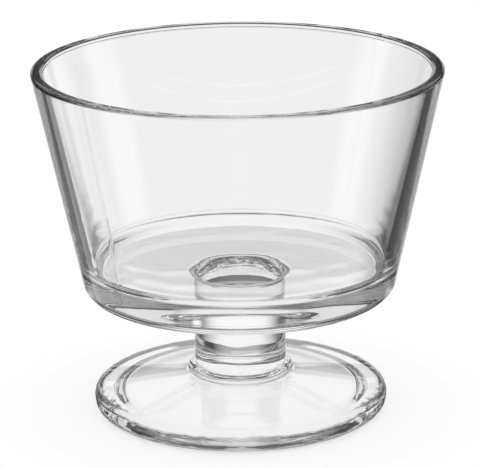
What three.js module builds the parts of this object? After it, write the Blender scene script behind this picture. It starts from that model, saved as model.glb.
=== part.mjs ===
// A footed dessert cup in clear pressed glass: a flared bowl with a thick base, a short solid stem
// and a disc foot whose underside is hollowed, so that the cup stands on a narrow ring.
// Millimetres, +Z up. The origin is the middle of the standing ring, on the table.
import * as THREE from "three";

// Bowl: a straight flared wall, a flat rim with softened edges and a thick flat base.
const RIM_DIAMETER = 120;
const BOWL_HEIGHT = 68;
const FLARE = 12.2; // degrees that the outer wall leans out from upright
const WALL_AT_RIM = 3.6;
const WALL_AT_FLOOR = 4.6;
const RIM_ROUND = 1;
const BASE_THICKNESS = 9;
const BASE_ROUND = 5;
const FLOOR_FILLET = 4;

// Stem: a solid round bar whose top spreads into the bowl's base.
const STEM_DIAMETER = 27;
const STEM_LENGTH = 22.1;
const STEM_FILLET = 2;

// Foot: a disc with a rounded edge, a top that climbs to the stem, and a bead round the stem.
const FOOT_DIAMETER = 87;
const FOOT_BOTTOM_ROUND = 3.6;
const FOOT_SIDE = 0.9;
const FOOT_TOP_ROUND = 2.4;
const FOOT_SLOPE = 8.6; // degrees that the top falls from the bead to the edge
const BEAD_OVERHANG = 1.95;
const BEAD_HEIGHT = 2.9;
const STANDING_RING = 3;
const RECESS_DEPTH = 2.4;
const RECESS_DRAFT = 2.6;
const RECESS_SLOPE = 8.2; // degrees that the hollow's roof climbs to the middle
const RECESS_CROWN = 8; // radius within which the hollow's roof is rounded over

// Facets: straight steps round the axis, and half the steps in each rounded corner.
const STEPS_ROUND = 72;
const HALF_STEPS_IN_ARC = 3;

const UP = Math.PI / 2;
const DOWN = -Math.PI / 2;

const clearGlass = new THREE.MeshStandardMaterial({
  color: 0xf2f5f4,
  roughness: 0.03,
  metalness: 0,
  transparent: true,
  opacity: 0.35,
});

// A glass solid of revolution about Z. The outline is (radius, height), from the axis below the
// glass round its outside to the axis above it.
function turnedGlass(name, outline) {
  const geometry = new THREE.LatheGeometry(outline.getPoints(HALF_STEPS_IN_ARC), STEPS_ROUND);
  geometry.rotateX(Math.PI / 2);
  const mesh = new THREE.Mesh(geometry, clearGlass);
  mesh.name = name;
  return mesh;
}

// The foot, standing on its ring. The roof of its hollow climbs a little less than its top, so
// the disc thickens slightly inwards. The bead's upper end is the face that the stem stands on.
const slope = THREE.MathUtils.degToRad(FOOT_SLOPE);
const roofSlope = THREE.MathUtils.degToRad(RECESS_SLOPE);
const bottomRound = { r: FOOT_DIAMETER / 2 - FOOT_BOTTOM_ROUND, z: FOOT_BOTTOM_ROUND };
const topRound = { r: FOOT_DIAMETER / 2 - FOOT_TOP_ROUND, z: FOOT_BOTTOM_ROUND + FOOT_SIDE };
const topFace = (r) =>
  topRound.z + FOOT_TOP_ROUND / Math.cos(slope) + (topRound.r - r) * Math.tan(slope);
const stemRadius = STEM_DIAMETER / 2;
const beadRadius = stemRadius + BEAD_OVERHANG;
const beadFoot = topFace(beadRadius);
const footHeight = beadFoot + BEAD_HEIGHT;

const recessMouth = bottomRound.r - STANDING_RING;
const recessRim = recessMouth - RECESS_DRAFT;
const recessRoof = (r) => RECESS_DEPTH + (recessRim - r) * Math.tan(roofSlope);
const crownRadius = RECESS_CROWN / Math.sin(roofSlope);
const crownCentre = recessRoof(RECESS_CROWN) - crownRadius * Math.cos(roofSlope);

const footOutline = new THREE.Path()
  .moveTo(0, crownCentre + crownRadius)
  .absarc(0, crownCentre, crownRadius, UP, UP - roofSlope, true)
  .lineTo(recessRim, RECESS_DEPTH)
  .lineTo(recessMouth, 0)
  .absarc(bottomRound.r, bottomRound.z, FOOT_BOTTOM_ROUND, DOWN, 0)
  .absarc(topRound.r, topRound.z, FOOT_TOP_ROUND, 0, UP - slope)
  .absellipse(stemRadius, beadFoot, BEAD_OVERHANG, BEAD_HEIGHT, 0, UP)
  .lineTo(0, footHeight);
const foot = turnedGlass("foot", footOutline);

// The stem, standing on the foot's bead. Its top meets the bowl's base in a hollow round.
const stemOutline = new THREE.Path()
  .moveTo(0, 0)
  .lineTo(stemRadius, 0)
  .absarc(stemRadius + STEM_FILLET, STEM_LENGTH - STEM_FILLET, STEM_FILLET, Math.PI, UP, true)
  .lineTo(0, STEM_LENGTH);
const stem = turnedGlass("stem", stemOutline);
stem.position.z = footHeight;

// The bowl, standing on the stem. The wall's thickness at the rim and at the floor sets its inner
// face, and each rounded corner is tangent to the faces on both sides of it.
const outerLean = THREE.MathUtils.degToRad(FLARE);
const rimRound = { r: RIM_DIAMETER / 2 - RIM_ROUND, z: BOWL_HEIGHT - RIM_ROUND };
const outerWall = (z) =>
  rimRound.r + RIM_ROUND / Math.cos(outerLean) - (rimRound.z - z) * Math.tan(outerLean);
const baseRound = { r: outerWall(BASE_ROUND) - BASE_ROUND / Math.cos(outerLean), z: BASE_ROUND };

const innerAtRim = outerWall(BOWL_HEIGHT) - WALL_AT_RIM;
const innerAtFloor = outerWall(BASE_THICKNESS) - WALL_AT_FLOOR;
const innerLean = Math.atan2(innerAtRim - innerAtFloor, BOWL_HEIGHT - BASE_THICKNESS);
const innerWall = (z) => innerAtFloor + (z - BASE_THICKNESS) * Math.tan(innerLean);
const lipRound = { r: innerWall(rimRound.z) + RIM_ROUND / Math.cos(innerLean), z: rimRound.z };
const filletTop = BASE_THICKNESS + FLOOR_FILLET;
const floorRound = { r: innerWall(filletTop) - FLOOR_FILLET / Math.cos(innerLean), z: filletTop };

const bowlOutline = new THREE.Path()
  .moveTo(0, 0)
  .lineTo(baseRound.r, 0)
  .absarc(baseRound.r, baseRound.z, BASE_ROUND, DOWN, -outerLean)
  .absarc(rimRound.r, rimRound.z, RIM_ROUND, -outerLean, UP)
  .absarc(lipRound.r, lipRound.z, RIM_ROUND, UP, Math.PI - innerLean)
  .absarc(floorRound.r, floorRound.z, FLOOR_FILLET, -innerLean, DOWN, true)
  .lineTo(0, BASE_THICKNESS);
const bowl = turnedGlass("bowl", bowlOutline);
bowl.position.z = footHeight + STEM_LENGTH;

const dessertCup = new THREE.Group();
dessertCup.name = "dessert_cup";
dessertCup.add(foot, stem, bowl);

export default dessertCup;
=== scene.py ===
import math

import bpy
import numpy as np
from mathutils import Matrix, Vector


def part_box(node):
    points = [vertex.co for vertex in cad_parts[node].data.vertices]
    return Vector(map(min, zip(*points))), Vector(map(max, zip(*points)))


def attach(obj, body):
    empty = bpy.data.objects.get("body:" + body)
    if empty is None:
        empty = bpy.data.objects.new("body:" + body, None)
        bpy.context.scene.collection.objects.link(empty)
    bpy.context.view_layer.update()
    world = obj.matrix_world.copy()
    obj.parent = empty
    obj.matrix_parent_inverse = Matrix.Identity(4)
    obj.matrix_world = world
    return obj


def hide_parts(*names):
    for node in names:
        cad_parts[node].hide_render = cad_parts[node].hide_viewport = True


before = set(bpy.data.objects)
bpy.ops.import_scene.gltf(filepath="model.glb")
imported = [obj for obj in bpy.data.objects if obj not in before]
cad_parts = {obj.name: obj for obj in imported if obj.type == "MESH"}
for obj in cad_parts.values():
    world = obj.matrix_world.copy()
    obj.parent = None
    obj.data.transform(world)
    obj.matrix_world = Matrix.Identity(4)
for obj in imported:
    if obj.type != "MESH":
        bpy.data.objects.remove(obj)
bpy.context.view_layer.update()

# The foot: a round disc with a fat rounded edge, a bead where the stem rises out of it, and a
# shallow hollow underneath, so that it stands on a narrow ring. Clear soda-lime glass, pressed
# in a two-part mould: the mould leaves a seam, and the quick chill leaves the edge wavy.
MM = 0.001
SAME_PLACE = 1e-6
SAME_LINE = 1e-7
STEPS_ROUND = 256
foot_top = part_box("foot")[1].z
foot_radius = 43.5 * MM
standing_ring = 3.0 * MM
foot_slope = math.radians(8.6)
edge_round_below = 3.6 * MM
edge_round_above = 2.4 * MM
edge_side = 0.9 * MM
edge_reach_above = edge_round_above / math.tan((math.pi / 2 + foot_slope) / 2)
edge_height = edge_round_below + edge_side + edge_reach_above
hollow_mouth = foot_radius - edge_round_below - standing_ring
hollow_draft = 2.6 * MM
hollow_wall = hollow_mouth - hollow_draft
hollow_depth = 2.4 * MM
hollow_slope = math.radians(8.2)
hollow_root_round = 0.9 * MM
hollow_lip_round = 0.7 * MM
crown_reach = 4.0 * MM
crown_round = 3.9 * MM
crown_top = hollow_depth + (hollow_wall - crown_reach) * math.tan(hollow_slope)
stem_radius = 13.5 * MM
bead_bulge = 2.2 * MM
bead_turn_under = math.radians(70)
groove_depth = 0.45 * MM
groove_radius = stem_radius + bead_bulge * math.cos(bead_turn_under)
groove_ledge = 0.3 * MM
groove_lip = stem_radius + bead_bulge + groove_ledge
groove_round = 0.25 * MM


def foot_surface(radius):
    """The height of the foot's sloping top at that radius."""
    return edge_height + (foot_radius - radius) * math.tan(foot_slope)


groove_bottom = foot_surface(groove_radius) - groove_depth
bead_half_height = (foot_top - groove_bottom) / (1 + math.sin(bead_turn_under))


def draw_outline(name, points):
    """Draws half of a turned piece's section in the XZ plane: one point, extruded on and on."""
    bpy.ops.object.select_all(action="DESELECT")
    bpy.ops.mesh.primitive_plane_add(size=MM)
    piece = bpy.context.object
    piece.name = piece.data.name = name
    bpy.ops.object.mode_set(mode="EDIT")
    bpy.ops.mesh.select_mode(type="VERT")
    bpy.ops.mesh.merge(type="CENTER")
    bpy.ops.transform.translate(value=(points[0][0], 0, points[0][1]))
    for here, there in zip(points, points[1:]):
        step = (there[0] - here[0], 0, there[1] - here[1])
        bpy.ops.mesh.extrude_vertices_move(TRANSFORM_OT_translate={"value": step})
    return piece


def pick(piece, kind, test):
    """Selects the vertices, edges or faces whose middles (x, y, z) pass the test, in edit mode."""
    bpy.ops.object.mode_set(mode="EDIT")
    bpy.ops.mesh.select_mode(type=kind)
    bpy.ops.mesh.select_all(action="DESELECT")
    bpy.ops.object.mode_set(mode="OBJECT")
    mesh = piece.data
    corners = np.zeros(len(mesh.vertices) * 3)
    mesh.vertices.foreach_get("co", corners)
    if kind == "VERT":
        parts, middles = mesh.vertices, corners
    elif kind == "EDGE":
        parts, ends = mesh.edges, np.zeros(len(mesh.edges) * 2, int)
        parts.foreach_get("vertices", ends)
        middles = corners.reshape(-1, 3)[ends].reshape(-1, 2, 3).mean(axis=1)
    else:
        parts, middles = mesh.polygons, np.zeros(len(mesh.polygons) * 3)
        parts.foreach_get("center", middles)
    parts.foreach_set("select", test(*middles.reshape(-1, 3).T))
    bpy.ops.object.mode_set(mode="EDIT")


def round_corner(piece, corner, reach, segments):
    """Rounds one corner of the outline over the same reach on both of its sides."""
    pick(piece, "VERT", lambda x, y, z: np.hypot(x - corner[0], z - corner[1]) < SAME_PLACE)
    bpy.ops.mesh.bevel(affect="VERTICES", offset=reach, segments=segments, profile=0.5)


def divide(piece, start, end, cuts):
    """Divides the straight run that the rounds leave between two corners of the outline."""
    span = math.dist(start, end)
    over, up = (end[0] - start[0]) / span, (end[1] - start[1]) / span

    def on_run(x, y, z):
        along = (x - start[0]) * over + (z - start[1]) * up
        beside = (x - start[0]) * up - (z - start[1]) * over
        return (abs(beside) < SAME_LINE) & (along > 0) & (along < span)
    pick(piece, "EDGE", on_run)
    bpy.ops.mesh.subdivide(number_cuts=cuts)


def turn(piece):
    """Turns the outline once round the axis and closes the poles."""
    bpy.ops.object.mode_set(mode="OBJECT")
    lathe = piece.modifiers.new("lathe", "SCREW")
    lathe.steps = lathe.render_steps = STEPS_ROUND
    lathe.use_merge_vertices = True
    lathe.merge_threshold = SAME_PLACE
    bpy.ops.object.modifier_apply(modifier="lathe")
    bpy.ops.object.mode_set(mode="EDIT")
    bpy.ops.mesh.select_all(action="SELECT")
    bpy.ops.mesh.remove_doubles(threshold=SAME_PLACE)
    bpy.ops.mesh.normals_make_consistent(inside=False)
    bpy.ops.object.mode_set(mode="OBJECT")


roof_middle = (0, crown_top)
roof_crown = (crown_reach, crown_top)
hollow_root = (hollow_wall, hollow_depth)
hollow_lip = (hollow_mouth, 0)
edge_below = (foot_radius, 0)
edge_above = (foot_radius, edge_height)
groove_edge = (groove_lip, foot_surface(groove_lip))
BEAD_POINTS = 29
bead = [
    (stem_radius + bead_bulge * math.cos(turned),
     foot_top - bead_half_height * (1 - math.sin(turned)))
    for turned in np.linspace(-bead_turn_under, math.pi / 2, BEAD_POINTS)
]
foot = draw_outline("pressed_glass_foot", [
    roof_middle, roof_crown, hollow_root, hollow_lip, edge_below, edge_above, groove_edge,
    *bead, (0, foot_top)])
round_corner(foot, roof_crown, crown_round, 8)
round_corner(foot, hollow_root, hollow_root_round, 8)
round_corner(foot, hollow_lip, hollow_lip_round, 8)
round_corner(foot, edge_below, edge_round_below, 24)
round_corner(foot, edge_above, edge_reach_above, 20)
round_corner(foot, groove_edge, groove_round, 5)
divide(foot, roof_crown, hollow_root, 24)
divide(foot, hollow_lip, edge_below, 4)
divide(foot, edge_above, groove_edge, 30)
turn(foot)

SEAM_HALF_WIDTH = 0.25 * MM
SEAM_STRIP = 2 * MM


def raise_seam(piece, angle, height, on_seam):
    """Raises a mould seam: cuts a narrow strip at that angle round the axis and lifts its
    middle, where on_seam(radius, z) holds."""
    def near(x, y, z, width):
        out = x * math.cos(angle) + y * math.sin(angle)
        aside = y * math.cos(angle) - x * math.sin(angle)
        return (out > 0) & (abs(aside) < width) & on_seam(np.hypot(x, y), z)
    across = Vector((-math.sin(angle), math.cos(angle), 0))
    for side in (-1, 1):
        pick(piece, "FACE", lambda x, y, z: near(x, y, z, SEAM_STRIP))
        bpy.ops.mesh.bisect(plane_co=across * side * SEAM_HALF_WIDTH, plane_no=across)
    pick(piece, "VERT", lambda x, y, z: near(x, y, z, SAME_PLACE))
    bpy.ops.transform.shrink_fatten(value=height)
    bpy.ops.object.mode_set(mode="OBJECT")


FOOT_SEAM = math.radians(360 / STEPS_ROUND * 156)
FOOT_SEAM_HEIGHT = 0.06 * MM
FOOT_SEAM_END = 20 * MM


def beside_bead(radius, z):
    """On the foot's top and the lower part of its bead."""
    return (z > edge_height) & (radius > stem_radius + MM) & (radius < FOOT_SEAM_END)


for seam in (FOOT_SEAM, FOOT_SEAM - math.pi):
    raise_seam(foot, seam, FOOT_SEAM_HEIGHT, beside_bead)


def ease(value, start, end):
    """0 before start and 1 after end, with a smooth rise between them."""
    part = np.clip((value - start) / (end - start), 0, 1)
    return part * part * (3 - 2 * part)


def ripple(angle, height, waves):
    """A sum of waves round the piece and up it, each (times round, length up in m, phase)."""
    return sum(np.sin(times * angle + 2 * math.pi * height / length + phase)
               for times, length, phase in waves) / len(waves)


def push_out(piece, how_far):
    """Moves each vertex along its normal by how_far(radius, angle, height)."""
    mesh = piece.data
    place = np.zeros(len(mesh.vertices) * 3)
    normal = np.zeros(len(mesh.vertices) * 3, np.float32)
    mesh.vertices.foreach_get("co", place)
    mesh.vertex_normals.foreach_get("vector", normal)
    place, normal = place.reshape(-1, 3), normal.reshape(-1, 3)
    radius, angle = np.hypot(place[:, 0], place[:, 1]), np.arctan2(place[:, 1], place[:, 0])
    place += normal * how_far(radius, angle, place[:, 2])[:, None]
    mesh.vertices.foreach_set("co", place.ravel())
    mesh.update()


EDGE_WAVE_HEIGHT = 0.12 * MM
EDGE_WAVES = [
    (7, 9 * MM, 0.3), (-13, 7 * MM, 1.9), (23, 8 * MM, 4.0),
    (-37, 6 * MM, 2.2), (53, 9 * MM, 5.1), (-61, 5 * MM, 0.8),
]


def wavy_edge(radius, angle, height):
    """Waves on the rounded edge only, which leave the standing ring flat."""
    on_edge = ease(radius, 39 * MM, 41.5 * MM)
    off_table = ease(height, 0.4 * MM, 1.6 * MM)
    return EDGE_WAVE_HEIGHT * on_edge * off_table * ripple(angle, height, EDGE_WAVES)


push_out(foot, wavy_edge)

SHARP = math.radians(50)


def polish(piece):
    """Shades the piece smooth but for corners sharper than SHARP."""
    bpy.ops.object.select_all(action="DESELECT")
    piece.select_set(True)
    bpy.context.view_layer.objects.active = piece
    bpy.ops.object.shade_smooth_by_angle(angle=SHARP)


polish(foot)


def linear(code):
    """A colour written as sRGB hex, as the linear numbers that a shader takes."""
    parts = [int(code[i:i + 2], 16) / 255 for i in (1, 3, 5)]
    return [p / 12.92 if p < 0.04045 else ((p + 0.055) / 1.055) ** 2.4 for p in parts] + [1.0]


def add_node(tree, kind, inputs=(), **settings):
    """Adds a node with its settings, and links or sets its inputs by name or number."""
    node = tree.nodes.new("ShaderNode" + kind)
    for name, value in settings.items():
        setattr(node, name, value)
    for key, value in dict(inputs).items():
        if isinstance(value, bpy.types.NodeSocket):
            tree.links.new(value, node.inputs[key])
        else:
            node.inputs[key].default_value = value
    return node


# Soda-lime glass, pressed and fire-polished: clear with the faintest grey-green, mirror smooth.
# Its skin is drawn into faint level streaks where it chilled against the mould.
STREAK_HEIGHT = 2.4 * MM
STREAK_LENGTH = 34 * MM
STREAK_DEPTH = 0.003 * MM
CLEAR = "#FEFEFE"
glass = bpy.data.materials.new("pressed soda-lime glass")
glass.use_nodes = True
tree = glass.node_tree
shader = tree.nodes["Principled BSDF"]
shader.inputs["Base Color"].default_value = linear(CLEAR)
shader.inputs["Roughness"].default_value = 0.0
shader.inputs["IOR"].default_value = 1.52
shader.inputs["Transmission Weight"].default_value = 1.0
place = add_node(tree, "TexCoord").outputs["Object"]
stretched = add_node(tree, "Mapping", {
    "Vector": place, "Scale": (1 / STREAK_LENGTH, 1 / STREAK_LENGTH, 1 / STREAK_HEIGHT)})
streaks = add_node(tree, "TexNoise", {
    "Vector": stretched.outputs[0], "Scale": 1.0, "Detail": 2.0})
skin = add_node(tree, "Bump", {
    "Height": streaks.outputs["Fac"], "Distance": STREAK_DEPTH, "Strength": 1.0})
tree.links.new(skin.outputs[0], shader.inputs["Normal"])

# Where two pieces of the cup meet the glass is fused, so nothing is seen there at all.
joint = bpy.data.materials.new("fused glass joint")
joint.use_nodes = True
shader = joint.node_tree.nodes["Principled BSDF"]
shader.inputs["Base Color"].default_value = linear(CLEAR)
shader.inputs["Alpha"].default_value = 0.0


def finish_glass(piece, joints):
    """Gives the piece its glass, and the fused joint to its faces at (height, radius)."""
    piece.data.materials.append(glass)
    piece.data.materials.append(joint)
    for height, radius in joints:
        pick(piece, "FACE",
             lambda x, y, z: (abs(z - height) < SAME_PLACE) & (np.hypot(x, y) < radius))
        piece.active_material_index = 1
        bpy.ops.object.material_slot_assign()
        bpy.ops.object.mode_set(mode="OBJECT")


finish_glass(foot, [(foot_top, stem_radius)])
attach(foot, "root")
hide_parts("foot")

# The stem: a short solid round bar between the foot's bead and the bowl, with a small hollow
# curve under the bowl. The same glass, fused to both in the press, with faint rings round it.
stem_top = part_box("stem")[1].z
stem_flare = 2.0 * MM
stem_corner = (stem_radius, stem_top)
stem = draw_outline("solid_glass_stem", [
    (0, foot_top), (stem_radius, foot_top), stem_corner, (stem_radius + stem_flare, stem_top),
    (0, stem_top)])
ALMOST = 0.999  # of the flare's length, so that the round leaves both of its end points apart
round_corner(stem, stem_corner, ALMOST * stem_flare, 24)
divide(stem, (stem_radius, foot_top), stem_corner, 48)
turn(stem)
STEM_WAVE_HEIGHT = 0.02 * MM
STEM_WAVES = [(2, 3.1 * MM, 0.6), (-3, 4.3 * MM, 2.6), (5, 2.3 * MM, 4.4), (-7, 5.6 * MM, 1.2)]


def stem_rings(radius, angle, height):
    """Faint rings, which fade out towards both joints."""
    above_foot = ease(height, foot_top, foot_top + 2 * MM)
    below_bowl = ease(-height, 3 * MM - stem_top, 6 * MM - stem_top)
    return STEM_WAVE_HEIGHT * above_foot * below_bowl * ripple(angle, height, STEM_WAVES)


push_out(stem, stem_rings)
polish(stem)
finish_glass(stem, [(foot_top, stem_radius), (stem_top, stem_radius + stem_flare)])
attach(stem, "root")
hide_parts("stem")

# The bowl: a deep cup with straight flared walls, a thick rounded base and a flat-topped rim.
# The same glass. A plunger pressed its inside and left a fine mark under the rim; the mould shaped
# its outside and left seams there, with level chill rings on the lower wall. Fused to the stem.
bowl_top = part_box("bowl")[1].z
rim_radius = 60.0 * MM
wall_flare = math.radians(12.2)
rim_round = 1.0 * MM
rim_wall = 3.6 * MM
floor_wall = 4.6 * MM
base_thickness = 9.0 * MM
base_round = 5.0 * MM
floor_round = 4.0 * MM
rim_centre = (rim_radius - rim_round, bowl_top - rim_round)


def outer_wall(height):
    """The radius of the bowl's outside at that height."""
    beside_rim = rim_centre[0] + rim_round / math.cos(wall_flare)
    return beside_rim - (rim_centre[1] - height) * math.tan(wall_flare)


floor_height = stem_top + base_thickness
base_corner = (outer_wall(stem_top), stem_top)
rim_outside = (outer_wall(bowl_top), bowl_top)
rim_inside = (outer_wall(bowl_top) - rim_wall, bowl_top)
floor_corner = (outer_wall(floor_height) - floor_wall, floor_height)
inner_flare = math.atan2(rim_inside[0] - floor_corner[0], bowl_top - floor_height)
PLUNGER_MARK = [  # below the rim, in from the wall
    (1.0 * MM, 0), (1.1 * MM, 0.2 * MM), (1.3 * MM, 0.2 * MM), (1.4 * MM, 0)]
mark = [
    (rim_inside[0] - down * math.tan(inner_flare) - inwards, bowl_top - down)
    for down, inwards in PLUNGER_MARK
]
joint_ring = (stem_radius + stem_flare, stem_top)
bowl = draw_outline("flared_glass_bowl", [
    (0, stem_top), joint_ring, base_corner, rim_outside, rim_inside, *mark, floor_corner,
    (0, floor_height)])
round_corner(bowl, base_corner, base_round * math.tan((math.pi / 2 - wall_flare) / 2), 32)
round_corner(bowl, rim_outside, rim_round * math.tan((math.pi / 2 + wall_flare) / 2), 14)
round_corner(bowl, rim_inside, rim_round * math.tan((math.pi / 2 - inner_flare) / 2), 14)
round_corner(bowl, floor_corner, floor_round * math.tan((math.pi / 2 - inner_flare) / 2), 20)
divide(bowl, joint_ring, base_corner, 12)
divide(bowl, base_corner, rim_outside, 90)
divide(bowl, rim_outside, rim_inside, 3)
divide(bowl, mark[-1], floor_corner, 60)
divide(bowl, floor_corner, (0, floor_height), 16)
turn(bowl)


def on_outside(radius, z):
    """On the outer wall, clear of the base's and the rim's corners."""
    between = (z > stem_top + 1.5 * MM) & (z < bowl_top - 1.2 * MM)
    return between & (radius > outer_wall(z) - 2.0 * MM)


BOWL_SEAM_HEIGHT = 0.03 * MM
for steps in (31, 160):
    raise_seam(bowl, math.radians(360 / STEPS_ROUND * steps), BOWL_SEAM_HEIGHT, on_outside)

# Millimetres above the base, and strength.
CHILL_RINGS = [(4.0, 0.5), (8.2, 0.9), (12.6, 1.0), (16.6, 0.9), (21.0, 0.7), (26.5, 0.4)]
CHILL_WIDTH = 1.4 * MM
CHILL_DEPTH = 0.04 * MM
CHILL_WANDER = 0.9 * MM


def chill(radius, angle, height):
    """Shallow level rings that wander up and down and come and go round the bowl."""
    far = np.zeros_like(radius)
    for number, (up, strength) in enumerate(CHILL_RINGS):
        wander = CHILL_WANDER * ripple(angle, 0, [
            (3, 1, number * 1.3), (-7, 1, number * 2.1), (11, 1, number * 0.7)])
        fade = 0.5 + 0.5 * ripple(angle, 0, [(2, 1, number * 2.9), (5, 1, number * 1.7)])
        off = (height - stem_top - up * MM - wander) / CHILL_WIDTH
        far += strength * fade * np.exp(-off * off)
    return -CHILL_DEPTH * far * on_outside(radius, height)


push_out(bowl, chill)
polish(bowl)
finish_glass(bowl, [joint_ring[::-1]])
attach(bowl, "root")
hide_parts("bowl")

# The table: a plain matt white top, lit evenly, which keeps the cup's soft shadow. Seen through
# the glass it is white under the foot, with painted shade rings where the cup would shade it and
# painted dark patches in front of and beside the cup, and further out the studio's screens show
# in its place.
TABLE_SIZE = 6
TABLE_DROP = 0.05 * MM
TABLE_GLOW = 0.6
TABLE_WHITE = 0.95
bpy.ops.object.select_all(action="DESELECT")
bpy.ops.mesh.primitive_plane_add(size=TABLE_SIZE, location=(0, 0, 0))
table = bpy.context.object
table.name = table.data.name = "table"
bpy.ops.object.mode_set(mode="EDIT")
bpy.ops.transform.translate(value=(0, 0, -TABLE_DROP))
bpy.ops.object.mode_set(mode="OBJECT")
pale = bpy.data.materials.new("matt white table")
pale.use_nodes = True
tree = pale.node_tree
tree.nodes.clear()


def soft_patches(tree, base, azimuth, along, patches):
    """The strongest of some soft-edged patches, or base. Each has its middle azimuth, the half
    widths where it starts to fade and ends, where along it starts, is full, fades and ends, and
    its strength."""
    strongest = base
    for middle, full, end, start, top, fall, stop, strength in patches:
        off = add_node(tree, "Math", {0: azimuth, 1: middle}, operation="SUBTRACT").outputs[0]
        off = add_node(tree, "Math", {0: off, 1: 180, 2: -180}, operation="WRAP").outputs[0]
        off = add_node(tree, "Math", {0: off}, operation="ABSOLUTE").outputs[0]
        for value, low, high, before, after in (
                (off, full, end, 1, 0), (along, start, top, 0, 1), (along, fall, stop, 1, 0)):
            part = add_node(tree, "MapRange", {0: value, 1: low, 2: high, 3: before, 4: after},
                            interpolation_type="SMOOTHSTEP").outputs[0]
            strength = add_node(tree, "Math", {0: strength, 1: part},
                                operation="MULTIPLY").outputs[0]
        strongest = add_node(tree, "Math", {0: strongest, 1: strength},
                             operation="MAXIMUM").outputs[0]
    return strongest


def azimuth_of(tree, way):
    """The angle of a direction round the axis, in degrees from +Y towards +X."""
    angle = add_node(tree, "Math", {0: way["X"], 1: way["Y"]}, operation="ARCTAN2").outputs[0]
    return add_node(tree, "Math", {0: angle}, operation="DEGREES").outputs[0]


# Painted shade on the table, seen only through the glass: under the foot's edge, behind it, and
# in front and at the sides of the cup. Degrees round the axis, then millimetres from it.
PAINTED_SHADES = [
    (0, 200, 201, 40.7, 41.3, 44.6, 46.0, 0.93),
    (0, 26, 34, 37.0, 38.0, 44.6, 46.0, 0.93),
    (180, 110, 140, 43.0, 44.0, 98, 99, 0.93),
    (0, 20, 75, 33.0, 36.5, 37.0, 37.6, 0.65),
    (180, 134, 171, 57, 59, 80, 86, 0.94),
]
# Where the table itself is seen through the glass: all round the foot, and further behind it.
SEEN = [
    (0, 200, 201, -2, -1, 48, 60, 1.0),
    (0, 58, 68, -2, -1, 106, 118, 1.0),
]
path = add_node(tree, "LightPath").outputs
here = add_node(tree, "NewGeometry").outputs["Position"]
reach = add_node(tree, "VectorMath", {0: here}, operation="LENGTH").outputs["Value"]
reach_mm = add_node(tree, "Math", {0: reach, 1: 1 / MM}, operation="MULTIPLY").outputs[0]
around = azimuth_of(tree, add_node(tree, "SeparateXYZ", {0: here}).outputs)
painted_shade = soft_patches(tree, 0.0, around, reach_mm, PAINTED_SHADES)
# The table's glow as seen through the glass, darkened where the shade is painted on.
white = add_node(tree, "MapRange", {0: painted_shade, 3: TABLE_WHITE, 4: 0.0}).outputs[0]
seen = soft_patches(tree, 0.0, around, reach_mm, SEEN)
shown = add_node(tree, "Emission", {0: linear("#FFFFFF"), 1: white}).outputs[0]
open_air = add_node(tree, "BsdfTransparent").outputs[0]
through = add_node(tree, "MixShader", {0: seen, 1: open_air, 2: shown}).outputs[0]
lit = add_node(tree, "AddShader", {
    0: add_node(tree, "Emission", {0: linear("#FFFFFF"), 1: TABLE_GLOW}).outputs[0],
    1: add_node(tree, "BsdfDiffuse", {0: linear("#CBCBCB")}).outputs[0]}).outputs[0]
plain = add_node(tree, "Math", {0: path["Is Camera Ray"], 1: path["Is Diffuse Ray"]},
                 operation="MAXIMUM").outputs[0]
look = add_node(tree, "MixShader", {0: plain, 1: through, 2: lit})
tree.links.new(look.outputs[0], add_node(tree, "OutputMaterial").inputs[0])
table.data.materials.append(pale)

# The studio: a dim room with soft white screens. Clear glass shows only what stands behind it, so
# each side has screens that fade out to the dark, which draws the edges of the glass. The first
# seven are behind and above the cup, the next is overhead, and the rest stand round it.
SCREENS = [  # degrees round the axis, degrees of elevation
    (0, 12, 32, -22.5, -19.8, 4, 9, 0.95),
    (0, 12, 25, -22.5, -19.8, 11.8, 12.8, 0.95),
    (0, 12, 25, 17.5, 18.5, 42, 48, 0.85),
    (0, 4, 22, -34, -27, -22.0, -20.0, 0.95),
    (33, 14, 20, 14, 16, 25, 28, 0.75),
    (-33, 14, 20, 14, 16, 25, 28, 0.75),
    (0, 12, 25, 44, 48, 98, 99, 0.50),
    (180, 120, 145, 24, 30, 64, 72, 0.28),
    (135, 12, 30, -18.5, -17.5, -9, -5, 0.95),
    (135, 2, 20, -34, -33, -18.5, -17.5, 0.95),
    (180, 12, 30, -20, -18, -3, 2, 0.95),
    (180, 95, 115, -60, -50, -19.5, -18.5, 0.95),
    (45, 12, 24, -19.5, -18.8, -4, 0, 0.95),
    (90, 8, 20, -14, -12, 4, 9, 0.95),
    (-135, 12, 30, -19.5, -18.5, -4, 0, 0.95),
    (-45, 4.4, 6.2, -28.4, -28.0, -21.6, -21.2, 0.95),
    (-58, 9, 15, -36, -32, -21.6, -20.5, 0.65),
    (-32, 9, 15, -36, -32, -21.6, -20.5, 0.10),
    (-90, 8, 20, -6, -5, 4, 9, 0.95),
    (-90, 2, 12, -12, -11, -6, -5, 0.95),
]
DIM = 0.06
ROOM_LIGHT = 0.8
room = bpy.data.worlds.new("dim room with white screens")
bpy.context.scene.world = room
room.use_nodes = True
tree = room.node_tree
tree.nodes.clear()
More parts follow.
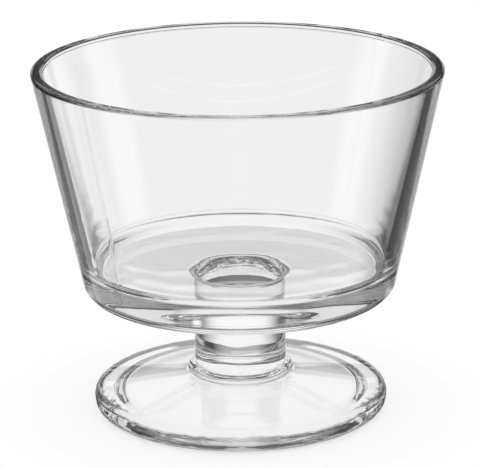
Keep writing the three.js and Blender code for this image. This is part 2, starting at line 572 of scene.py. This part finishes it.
way = add_node(tree, "SeparateXYZ", {0: add_node(tree, "TexCoord").outputs["Generated"]}).outputs
rise = add_node(tree, "Math", {0: way["Z"]}, operation="ARCSINE").outputs[0]
elevation = add_node(tree, "Math", {0: rise}, operation="DEGREES").outputs[0]
pattern = soft_patches(tree, DIM, azimuth_of(tree, way), elevation, SCREENS)
path = add_node(tree, "LightPath").outputs
light = add_node(tree, "Mix", {0: path["Is Glossy Ray"], 2: ROOM_LIGHT, 3: pattern}).outputs[0]
light = add_node(tree, "Mix", {0: path["Is Transmission Ray"], 2: light, 3: pattern}).outputs[0]
light = add_node(tree, "Mix", {0: path["Is Camera Ray"], 2: light, 3: 1.0}).outputs[0]
white = add_node(tree, "Background", {0: linear("#FFFFFF"), 1: light})
tree.links.new(white.outputs[0], add_node(tree, "OutputWorld").inputs[0])

# The camera: a long lens a little above the rim, level but for a slight lean, as in the picture.
PICTURE_WIDTH = 480
CAMERA_DISTANCE = 0.794
LOOKING_DOWN = math.radians(13.52)
AIM_HEIGHT = 0.0529
LEAN = math.radians(0.6)
FOCAL_PIXELS = 2815
SHIFT_PIXELS = 0.83
BOUNCES = 32
lens = bpy.data.cameras.new("long lens")
camera = bpy.data.objects.new("camera", lens)
bpy.context.scene.collection.objects.link(camera)
stand = Vector((0, -CAMERA_DISTANCE, bowl_top - MM + CAMERA_DISTANCE * math.tan(LOOKING_DOWN)))
camera.location = stand
camera.rotation_mode = "QUATERNION"
level = (Vector((0, 0, AIM_HEIGHT)) - stand).to_track_quat("-Z", "Y")
camera.rotation_quaternion = level @ Matrix.Rotation(-LEAN, 3, "Z").to_quaternion()
lens.sensor_width = 36
lens.lens = FOCAL_PIXELS * lens.sensor_width / PICTURE_WIDTH
lens.shift_x = SHIFT_PIXELS / PICTURE_WIDTH
lens.clip_start = 0.01
scene = bpy.context.scene
scene.camera = camera
scene.view_settings.view_transform = "Standard"
# Light passes in and out of thick glass many times before it leaves.
for bounces in ("max_bounces", "transmission_bounces", "glossy_bounces", "transparent_max_bounces"):
    setattr(scene.cycles, bounces, BOUNCES)
